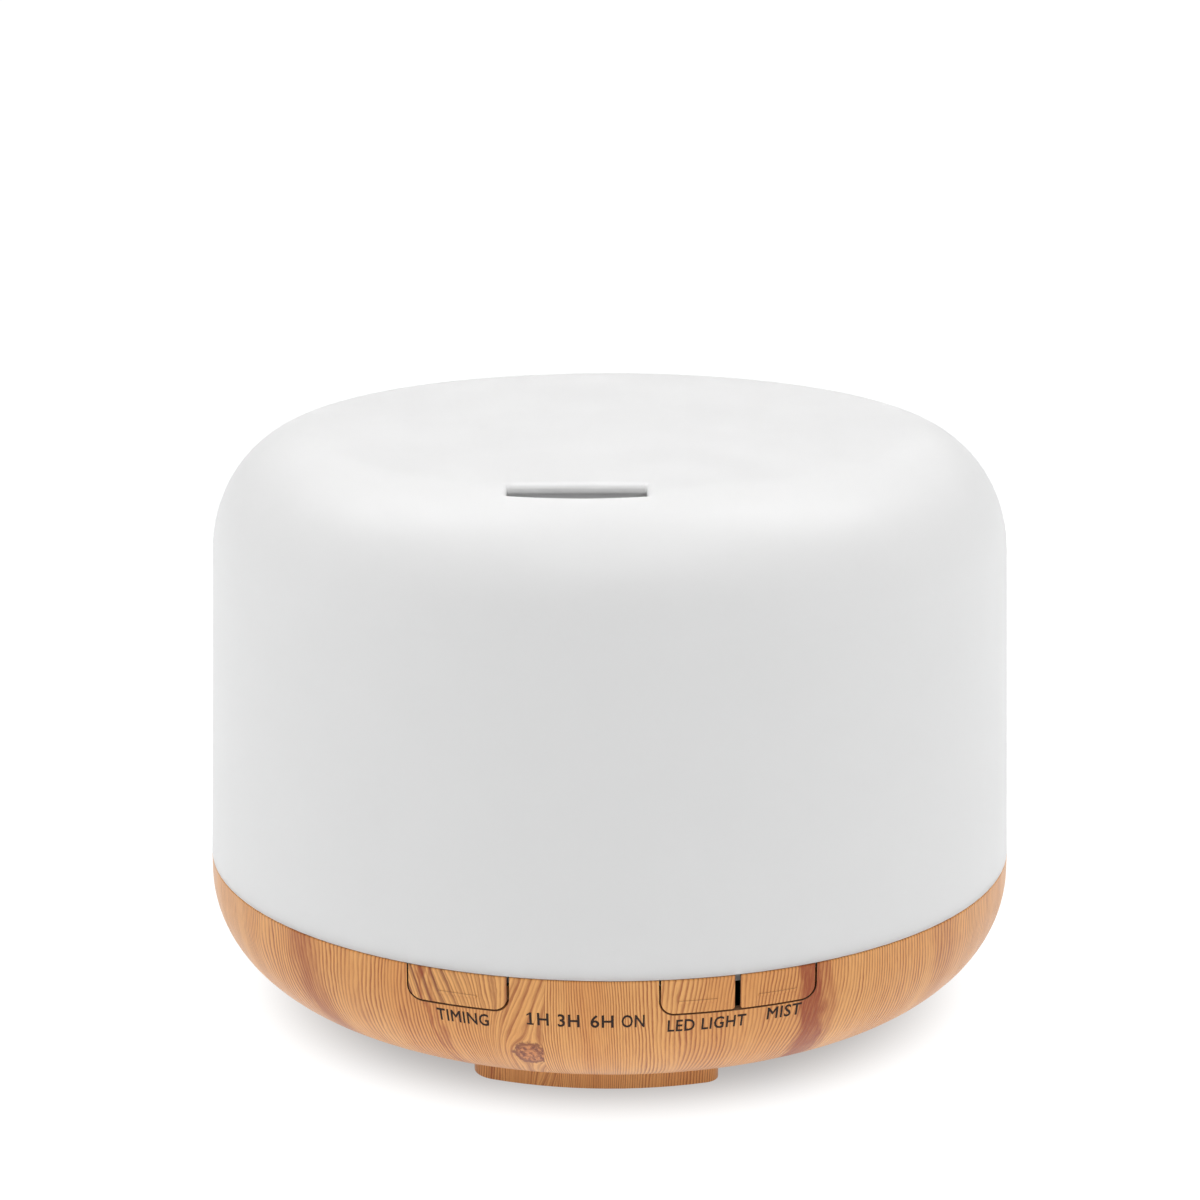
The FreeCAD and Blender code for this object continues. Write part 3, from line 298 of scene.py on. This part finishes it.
def wood_film(name, lean=0.0, shift=0.0, bold=0.0):
    """Satin pine print: upright growth lines that swerve round a knot, with a joint in the film beside it.

    lean slants the lines, shift takes another part of the print, bold gives dark stripes on a pale ground.
    """
    g = Graph(name)
    x, y, z = g.xyz(g.place)
    azimuth = g.mul(g.math("ARCTAN2", x, g.mul(y, -1.0)), 180 / math.pi)
    u = g.mul(azimuth, MM_PER_DEGREE)
    v = g.mul(z, 1 / MM)
    joint = g.add(FILM_SEAM - FILM_SEAM_Z * FILM_SEAM_LEAN, g.mul(v, FILM_SEAM_LEAN))
    left = g.math("LESS_THAN", azimuth, joint)

    # the print runs straight down the side, and on across the flat underside
    radius = g.length(x, y)
    under = g.smooth(radius, UNDERSIDE_R, SIDE_R, 1.0, 0.0)
    side_wall = g.sub(1.0, under)
    u = g.choose(under, u, g.mul(x, 1 / MM))
    v = g.choose(under, v, g.mul(y, UNDERSIDE_STRETCH / MM))

    # the knot pushes the lines aside, as a post does in a stream
    across = g.sub(u, KNOT_AT * MM_PER_DEGREE)
    away = g.length(across, g.mul(g.sub(v, KNOT_Z), KNOT_SQUASH))
    push = g.math("MINIMUM", g.div(KNOT_SIZE ** 2, g.math("MAXIMUM", g.mul(away, away), 0.01)), 1.0)
    side = g.mul(left, g.smooth(across, COARSE_START, COARSE_FULL))
    swerve = g.sub(g.mul(across, g.mul(push, -1.0)), g.mul(g.sub(v, SWERVE_Z), SWERVE_SLOPE))
    bent = g.add(u, g.mul(side, swerve))

    # the lines wander and wobble, differently on either side of the joint
    drift = g.grain(u, v, DRIFT_CELLS, g.add(g.mul(left, 7.0), shift), 2.0)
    slant = g.noise(g.vector(g.mul(u, SLANT_CELLS), shift, 3.7), 1.0, 1.0)
    slope = g.add(g.mul(g.sub(slant, 0.5), SLANT), lean)
    line_u = g.add(g.add(bent, g.mul(g.sub(drift, 0.5), DRIFT)), g.mul(v, slope))
    wobble = g.grain(bent, v, WOBBLE_CELLS, g.add(g.mul(left, 3.0), shift), 3.0)
    line_u = g.add(line_u, g.mul(g.sub(wobble, 0.5), g.smooth(side, 0.0, 1.0, WOBBLE, WOBBLE_COARSE)))
    crowd = g.smooth(u, CROWDED_FROM, CROWDED_TO, 0.0, CROWDING)
    line_u = g.add(line_u, g.mul(crowd, g.sub(1.0, left)))

    # fine lines everywhere, and wide ones where the print is coarse
    fine = growth_line(g, line_u, GRAIN_PITCH, *GRAIN_LINE)
    wide = growth_line(g, g.add(line_u, WIDE_OFFSET), WIDE_PITCH, *WIDE_LINE)
    patch = g.grain(line_u, v, PATCH_CELLS, shift, 2.0)
    strength = g.smooth(patch, 0.32, 0.60, 0.45 + 0.4 * bold, 1.0)
    fibre = g.grain(line_u, v, FIBRE_CELLS, shift, 4.0, 0.65)
    stripes = g.smooth(azimuth, STRIPES_FROM, STRIPES_TO, bold, bold * 0.45)
    coarse = g.math("MAXIMUM", g.mul(side, 0.9), stripes)
    growth = g.mul(g.mul(fine, strength), g.sub(1.0, g.mul(coarse, 0.45)))
    growth = g.math("MAXIMUM", growth, g.mul(wide, coarse))
    growth = g.mul(growth, g.smooth(fibre, 0.25, 0.6, 0.55, 1.0))

    tone = g.grain(line_u, v, TONE_CELLS, 9.1, 3.0)
    ground = g.mix(g.smooth(tone, 0.35, 0.68, 0.0, 1.0 - 0.8 * bold), WOOD_LIGHT, WOOD_MIDDLE)
    ground = g.mix(g.smooth(fibre, 0.42, 0.78, 0.0, 0.32 - 0.22 * bold), ground, WOOD_LINE)
    color = g.mix(g.mul(growth, 0.95), ground, g.mix(stripes, WOOD_LINE, KNOT_DARK))
    color = add_streaks(g, color, azimuth, v, wobble, fibre, side_wall)
    color = add_knot(g, color, across, away, v, g.mul(left, side_wall))
    color = g.mix(film_reaches(g, x, y, v, radius), BARE_PLASTIC, color)

    grime = g.noise(g.scaled(60, 60, 60), 1.0, 4.0)
    g.bump(g.add(g.mul(growth, -0.35), g.mul(fibre, 0.25)), 0.00005)
    return g.surface(color=color, rough=g.smooth(grime, 0.3, 0.7, 0.32, 0.42), coat=0.06, coat_rough=0.22,
                     specular=0.4)


def plastic(name, color, rough=0.4, variation=0.04, texture=900.0, relief=0.00001, subsurface=0.0,
            streaks=False, depth=0.004, specular=0.5):
    """Moulded plastic: fine spark texture, faint cloudy colour, and handling marks in the gloss."""
    g = Graph(name)
    cloud = g.noise(g.scaled(1, 1, 0.25 if streaks else 1), 35.0, 4.0)
    darker = tuple(c * (1 - 2 * variation) for c in color)
    tint = g.mix(g.smooth(cloud, 0.25, 0.75), darker, color)
    grain = g.noise(g.place, texture, 2.0)
    marks = g.noise(g.scaled(1, 1, 0.4), 90.0, 5.0, 0.6)
    g.bump(grain, relief)
    if subsurface:
        g.surface(subsurface=subsurface)
        g.shader.inputs["Subsurface Radius"].default_value = (depth, depth, depth)
        g.shader.inputs["Subsurface Scale"].default_value = 1.0
    return g.surface(color=tint, rough=g.smooth(marks, 0.3, 0.75, rough - 0.04, rough + 0.08),
                     specular=specular)


def metal(name, color, rough=0.3, along=(1.0, 1.0, 1.0), scale=900.0, spots=0.15):
    """Brushed or cast metal: fine marks in the gloss and duller stains."""
    g = Graph(name)
    brushed = g.noise(g.scaled(*along), scale, 4.0, 0.7)
    stain = g.noise(g.place, 220.0, 3.0)
    dull = tuple(c * (1 - spots) for c in color)
    g.bump(brushed, 0.000008)
    return g.surface(color=g.mix(g.smooth(stain, 0.35, 0.7), color, dull), metal=1.0,
                     rough=g.smooth(brushed, 0.3, 0.7, rough - 0.08, rough + 0.12))


def soft(name, color, rough=0.75, cells=1400.0, relief=0.00003):
    """Rubber, silicone and foam: pores and a dusty bloom."""
    g = Graph(name)
    pores = g.spots(cells)
    bloom = g.noise(g.place, 130.0, 4.0)
    dusty = tuple(min(1.0, c * 1.5 + 0.02) for c in color)
    g.bump(pores, relief)
    return g.surface(color=g.mix(g.smooth(bloom, 0.4, 0.75, 0.0, 0.6), color, dusty),
                     rough=g.smooth(bloom, 0.3, 0.7, rough, min(1.0, rough + 0.15)))


def circuit_board(name):
    """Green solder mask over copper tracks, with tinned pads and glass fibre showing faintly."""
    g = Graph(name)
    inputs = {"Vector": g.place, "Scale": 160.0, "Mortar Size": 0.035, "Bias": 0.0,
              "Color1": (0, 0, 0), "Color2": (0.2, 0.2, 0.2), "Mortar": (1, 1, 1)}
    tracks = g.node("ShaderNodeTexBrick", inputs).outputs["Fac"]
    dots = g.spots(260.0, feature="F1")
    weave = g.noise(g.place, 1500.0, 1.0)
    mask = g.mix(g.smooth(weave, 0.3, 0.7), (0.012, 0.120, 0.045), (0.018, 0.150, 0.060))
    color = g.mix(g.mul(tracks, 0.8), mask, (0.045, 0.27, 0.11))
    color = g.mix(g.smooth(dots, 0.10, 0.14, 1.0, 0.0), color, (0.62, 0.60, 0.55))
    g.bump(tracks, 0.00003)
    return g.surface(color=color, rough=0.32, coat=0.4, coat_rough=0.15)


def winding(name):
    """Turns of enamelled copper wire."""
    g = Graph(name)
    inputs = {"Vector": g.place, "Scale": 900.0, "Distortion": 0.6, "Detail": 1.0}
    turns = g.node("ShaderNodeTexWave", inputs, bands_direction="Z").outputs["Fac"]
    g.bump(turns, 0.0001)
    return g.surface(color=g.mix(turns, (0.28, 0.08, 0.03), (0.75, 0.33, 0.15)), metal=0.85, rough=0.32)


def lamp(name):
    """An unlit lamp's yellow phosphor under clear resin."""
    g = Graph(name)
    cells = g.spots(700.0)
    phosphor = g.mix(g.smooth(cells, 0.1, 0.6), (0.86, 0.62, 0.14), (0.93, 0.86, 0.60))
    g.bump(cells, 0.00003)
    return g.surface(color=phosphor, rough=0.25, coat=0.6, coat_rough=0.08)


def clear_guide(name):
    """Clear acrylic with a faint cloud in it."""
    g = Graph(name)
    cloud = g.noise(g.place, 400.0, 3.0)
    g.bump(cloud, 0.00002)
    return g.surface(color=g.mix(cloud, (0.90, 0.93, 0.95), (0.97, 0.98, 0.98)), through=0.85, ior=1.49,
                     rough=g.smooth(cloud, 0.3, 0.7, 0.05, 0.15))


def transducer(name):
    """Polished stainless face with a brass-coloured rim."""
    face_r, ring_r, turning = 0.0064, 0.0066, 60000.0
    g = Graph(name)
    x, y, _ = g.xyz(g.place)
    radius = g.length(x, y)
    turned = g.math("SINE", g.mul(radius, turning))
    scale_marks = g.noise(g.place, 500.0, 4.0)
    color = g.mix(g.smooth(radius, face_r, ring_r), (0.74, 0.73, 0.70), (0.80, 0.66, 0.36))
    color = g.mix(g.smooth(scale_marks, 0.55, 0.75, 0.0, 0.5), color, (0.55, 0.50, 0.42))
    g.bump(turned, 0.000004)
    return g.surface(color=color, metal=1.0, rough=g.smooth(scale_marks, 0.3, 0.7, 0.15, 0.35))


def ink(name):
    """Printing ink, slightly uneven."""
    g = Graph(name)
    dots = g.noise(g.place, 3500.0, 3.0)
    thin_ink = tuple(c * 2.2 for c in INK)
    return g.surface(color=g.mix(g.smooth(dots, 0.35, 0.7), INK, thin_ink), specular=0.2,
                     rough=g.smooth(dots, 0.3, 0.7, 0.5, 0.65))


def pale_floor_with_painted_shadow(name):
    """A light table: evenly bright, and dimmer under the object, where a shadow is painted into its glow."""
    g = Graph(name)
    paper = g.noise(g.place, 3.0, 3.0)
    g.surface(color=g.mix(paper, (0.14, 0.14, 0.14), (0.15, 0.15, 0.15)), rough=0.8, specular=0.1)
    x, y, _ = g.xyz(g.place)
    # painted shadow: the floor's glow is dimmed near the axis, under the object
    glow_with_painted_shadow = g.smooth(g.length(x, y), SHADOW_R, OPEN_R, GLOW_SHADOW, GLOW_OPEN)
    painted_shadow_glow_color = g.vector(g.mul(glow_with_painted_shadow, GLOW_RED), glow_with_painted_shadow, g.mul(glow_with_painted_shadow, GLOW_BLUE))
    g.put(g.shader.inputs["Emission Color"], painted_shadow_glow_color)
    g.shader.inputs["Emission Strength"].default_value = 1.0
    return g.material


def paint(material, *nodes):
    for node in nodes:
        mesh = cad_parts[node].data
        mesh.materials.clear()
        mesh.materials.append(material)


def paint_wood():
    paint(wood_film("wood_film"), "base_shell")
    paint(wood_film("wood_film_timing", lean=0.32, shift=4.0, bold=1.0), "timing_button")
    paint(wood_film("wood_film_light", lean=-0.05, shift=8.0), "light_button")
    paint(wood_film("wood_film_mist", lean=0.02, shift=12.0), "mist_button")


def paint_plastics():
    cover = dict(rough=0.40, variation=0.008, texture=700.0, relief=0.000004, specular=0.4)
    nozzle = dict(rough=0.42, variation=0.01, texture=700.0)
    tank = dict(rough=0.34, variation=0.03, texture=500.0, relief=0.000008)
    duct = dict(rough=0.36, variation=0.03, texture=500.0, relief=0.000008)
    splash = dict(rough=0.42, variation=0.02, texture=700.0, relief=0.000002)
    paint(plastic("cover_white", (0.89, 0.887, 0.884), subsurface=0.8, depth=0.006, **cover), "top_cover")
    paint(plastic("nozzle_white", (0.96, 0.96, 0.96), subsurface=1.0, depth=0.008, **nozzle), "mist_nozzle")
    paint(plastic("tank_milky", (0.80, 0.81, 0.80), subsurface=0.35, streaks=True, **tank),
          "tank", "tank_deck", "tank_posts")
    paint(plastic("duct_milky", (0.76, 0.78, 0.78), subsurface=0.25, **duct), "duct_cap", "air_riser")
    paint(plastic("splash_cover_milky", (0.80, 0.82, 0.83), **splash), "splash_cover")
    paint(plastic("retainer_grey", (0.20, 0.21, 0.22), rough=0.45), "piezo_retainer")
    paint(plastic("moulded_black", (0.018, 0.018, 0.019), rough=0.42, variation=0.15),
          "fan_frame", "dc_jack_body", "timing_switch_case", "light_switch_case", "mist_switch_case",
          "power_transistor")
    paint(plastic("fan_black", (0.014, 0.014, 0.015), rough=0.3, variation=0.15), "fan_rotor")
    paint(plastic("chip_black", (0.020, 0.020, 0.022), rough=0.55, variation=0.2, texture=2500.0),
          "control_chip")
    paint(plastic("can_sleeve", (0.010, 0.014, 0.035), rough=0.25, variation=0.2), "capacitors")
    paint(plastic("nylon_white", (0.72, 0.70, 0.64), rough=0.4, variation=0.05, subsurface=0.1),
          "wire_connectors", "timing_switch_stem", "light_switch_stem", "mist_switch_stem")
    paint(plastic("lead_red", (0.42, 0.02, 0.015), rough=0.35, variation=0.1), "piezo_leads", "power_leads")
    paint(plastic("lead_white", (0.70, 0.70, 0.68), rough=0.35, variation=0.1), "led_leads", "key_leads")
    paint(plastic("lead_black", (0.02, 0.02, 0.02), rough=0.35, variation=0.2), "fan_leads")


def paint_rubber():
    paint(soft("foot_rubber", (0.035, 0.033, 0.031)), "foot_pad_front", "foot_pad_right", "foot_pad_left")
    paint(soft("silicone", (0.55, 0.55, 0.53), rough=0.5, cells=900.0, relief=0.00001), "piezo_gasket")
    paint(soft("foam", (0.02, 0.02, 0.02), rough=0.9, cells=1800.0, relief=0.00015), "fan_gasket")


def paint_metals():
    paint(metal("plated_steel", (0.60, 0.60, 0.58)), "housing_screws", "piezo_screws", "led_board_screws",
          "main_board_screws", "key_board_screws", "fan_screws")
    paint(metal("ground_steel", (0.66, 0.66, 0.66), rough=0.2, along=(1, 1, 0.05)), "fan_shaft")
    paint(metal("plug_pin", (0.72, 0.70, 0.66), rough=0.2, along=(1, 0.05, 1)),
          "dc_jack_pin", "dc_jack_contact")
    paint(metal("sintered_bronze", (0.50, 0.33, 0.16), rough=0.45, scale=2500.0), "fan_bearing")
    paint(metal("bare_aluminium", (0.77, 0.78, 0.79), rough=0.35, along=(1, 1, 0.04)), "heat_sink")
    paint(metal("ferrite", (0.06, 0.06, 0.065), rough=0.6, scale=1800.0), "inductors", "fan_magnet")
    paint(metal("core_steel", (0.30, 0.30, 0.31), rough=0.5, along=(0.1, 0.1, 8.0), scale=700.0),
          "fan_stator")


def paint_electrics():
    paint(winding("copper_winding"), "fan_coils")
    paint(transducer("transducer_face"), "piezo_disc")
    paint(circuit_board("solder_mask"), "led_board", "main_board", "key_board", "jack_board")
    paint(lamp("lamp_phosphor"), "led_chips", "indicator_leds")
    paint(clear_guide("clear_acrylic"), "light_guide")


# ---------------------------------------------------------------- printed lettering


def surface_of(node):
    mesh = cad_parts[node].data
    return BVHTree.FromPolygons([v.co for v in mesh.vertices], [p.vertices for p in mesh.polygons])


def add_flag_and_foot(bm, cap):
    """Gives the plain numeral one, the leftmost letter, its flag and its foot."""
    stem = min(v.co.x for v in bm.verts)
    stroke, reach, half = 0.11 * cap, 0.20 * cap, 0.02 * cap
    left, right, middle = stem - reach, stem + stroke + reach, stem + stroke / 2
    foot = ((left, 0), (right, 0), (right, stroke), (left, stroke))
    flag = ((left, cap * 0.74), (middle, cap * 0.88), (middle, cap), (left, cap * 0.84))
    for outline in (foot, flag):
        lower, upper = ([bm.verts.new((x, y, z)) for x, y in outline] for z in (-half, half))
        bm.faces.new(upper)
        bm.faces.new(lower[::-1])
        for i in range(4):
            bm.faces.new((lower[i - 1], lower[i], upper[i], upper[i - 1]))


def letter_mesh(words, cap_height):
    """The words in the plain built-in typeface, as a thin closed mesh."""
    curve = bpy.data.curves.new("letters", "FONT")
    curve.body = words
    curve.align_x = "CENTER"
    curve.size = cap_height * MM / CAPITAL
    curve.space_character = LETTER_SPACING
    curve.bevel_depth = STROKE_SWELL
    curve.bevel_resolution = 0
    curve.extrude = STROKE_DEPTH
    curve.resolution_u = 3
    source = bpy.data.objects.new("letters", curve)
    bpy.context.scene.collection.objects.link(source)
    bpy.context.view_layer.update()
    mesh = bpy.data.meshes.new_from_object(source)
    bpy.data.objects.remove(source)
    bpy.data.curves.remove(curve)
    return mesh


def flat_letters(words, width, cap_height):
    """A thin closed mesh of the words in the XY plane, centred on X, standing on Y = 0, in short faces."""
    merge = 1e-7
    mesh = letter_mesh(words, cap_height)
    bm = bmesh.new()
    bm.from_mesh(mesh)
    bmesh.ops.remove_doubles(bm, verts=bm.verts, dist=merge)
    if words.startswith("1"):
        add_flag_and_foot(bm, cap_height * MM)
    low = min(v.co.x for v in bm.verts)
    high = max(v.co.x for v in bm.verts)
    for vertex in bm.verts:
        vertex.co.x = (vertex.co.x - (low + high) / 2) * width / (high - low)
    across, upwards = Vector((1, 0, 0)), Vector((0, 1, 0))
    cuts = [(Vector(((i + 1) * COLUMN - width / 2, 0, 0)), across) for i in range(int(width / COLUMN))]
    cuts += [(Vector((0, i * ROW, 0)), upwards) for i in range(1, ROWS + 1)]
    for point, normal in cuts:
        everything = bm.verts[:] + bm.edges[:] + bm.faces[:]
        bmesh.ops.bisect_plane(bm, geom=everything, plane_co=point, plane_no=normal, dist=merge)
    bm.to_mesh(mesh)
    bm.free()
    return mesh


def print_on_base(name, words, left, right, z, cap_height, tree, material):
    """Wraps the words on the base's outer surface, just proud of it."""
    mesh = flat_letters(words, math.radians(right - left) * BODY_R, cap_height)
    for vertex in mesh.vertices:
        flat = vertex.co.copy()
        angle = math.radians((left + right) / 2) + flat.x / BODY_R
        out = Vector((math.sin(angle), -math.cos(angle), 0))
        start = out * (BODY_R + RAY_LENGTH) + Vector((0, 0, z * MM + flat.y * LETTER_HEIGHT))
        place, normal, _, _ = tree.ray_cast(start, -out)
        if normal.dot(out) < 0:
            normal = -normal
        vertex.co = place + normal * (LETTER_LIFT + flat.z * LETTER_FLATTEN)
    piece = bpy.data.objects.new("print_" + name, mesh)
    bpy.context.scene.collection.objects.link(piece)
    mesh.materials.clear()
    mesh.materials.append(material)
    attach(piece, "base")


def print_lettering():
    tree = surface_of("base_shell")
    material = ink("print_ink")
    for name, words, left, right, z, cap_height in LETTERING:
        print_on_base(name, words, left, right, z, cap_height, tree, material)


# ---------------------------------------------------------------- floor, lights, camera


def stage():
    half = FLOOR_HALF
    corners = [(-half, -half, 0), (half, -half, 0), (half, half, 0), (-half, half, 0)]
    mesh = bpy.data.meshes.new("floor")
    mesh.from_pydata(corners, [], [(0, 1, 2, 3)])
    floor = bpy.data.objects.new("floor", mesh)
    bpy.context.scene.collection.objects.link(floor)
    mesh.materials.append(pale_floor_with_painted_shadow("floor_pale_painted_shadow"))


def turned(direction):
    """The rotation that points a lamp or a camera in a direction."""
    return Vector(direction).to_track_quat("-Z", "Y").to_euler()


def softbox(name, place, width, height, power):
    light = bpy.data.lights.new(name, "AREA")
    light.shape = "RECTANGLE"
    light.size = width
    light.size_y = height
    light.energy = power
    lamp_object = bpy.data.objects.new(name, light)
    bpy.context.scene.collection.objects.link(lamp_object)
    lamp_object.location = place
    lamp_object.rotation_euler = turned(Vector(AIM) - Vector(place))


def bright_surroundings():
    """The far wall looks as white as the floor, but lights the object less."""
    world = bpy.data.worlds.new("studio")
    world.use_nodes = True
    tree = world.node_tree
    background = tree.nodes["Background"]
    background.inputs["Color"].default_value = (1.0, 1.0, 1.0, 1.0)
    rays = tree.nodes.new("ShaderNodeLightPath")
    brightness = tree.nodes.new("ShaderNodeMapRange")
    brightness.inputs["To Min"].default_value = SKY_LIGHT
    brightness.inputs["To Max"].default_value = SKY_SEEN
    tree.links.new(rays.outputs["Is Camera Ray"], brightness.inputs["Value"])
    tree.links.new(brightness.outputs[0], background.inputs["Strength"])
    bpy.context.scene.world = world


def place_camera():
    camera = bpy.data.cameras.new("camera")
    camera.sensor_width = SENSOR_WIDTH
    camera.lens = LENS
    camera.clip_start = CLIP_START
    eye = bpy.data.objects.new("camera", camera)
    bpy.context.scene.collection.objects.link(eye)
    eye.location = CAMERA_PLACE
    eye.rotation_euler = turned(CAMERA_LOOKS)
    bpy.context.scene.camera = eye
    bpy.context.scene.view_settings.view_transform = "Standard"


paint_wood()
paint_plastics()
paint_rubber()
paint_metals()
paint_electrics()
print_lettering()
stage()
bright_surroundings()
for box in SOFTBOXES:
    softbox(*box)
place_camera()
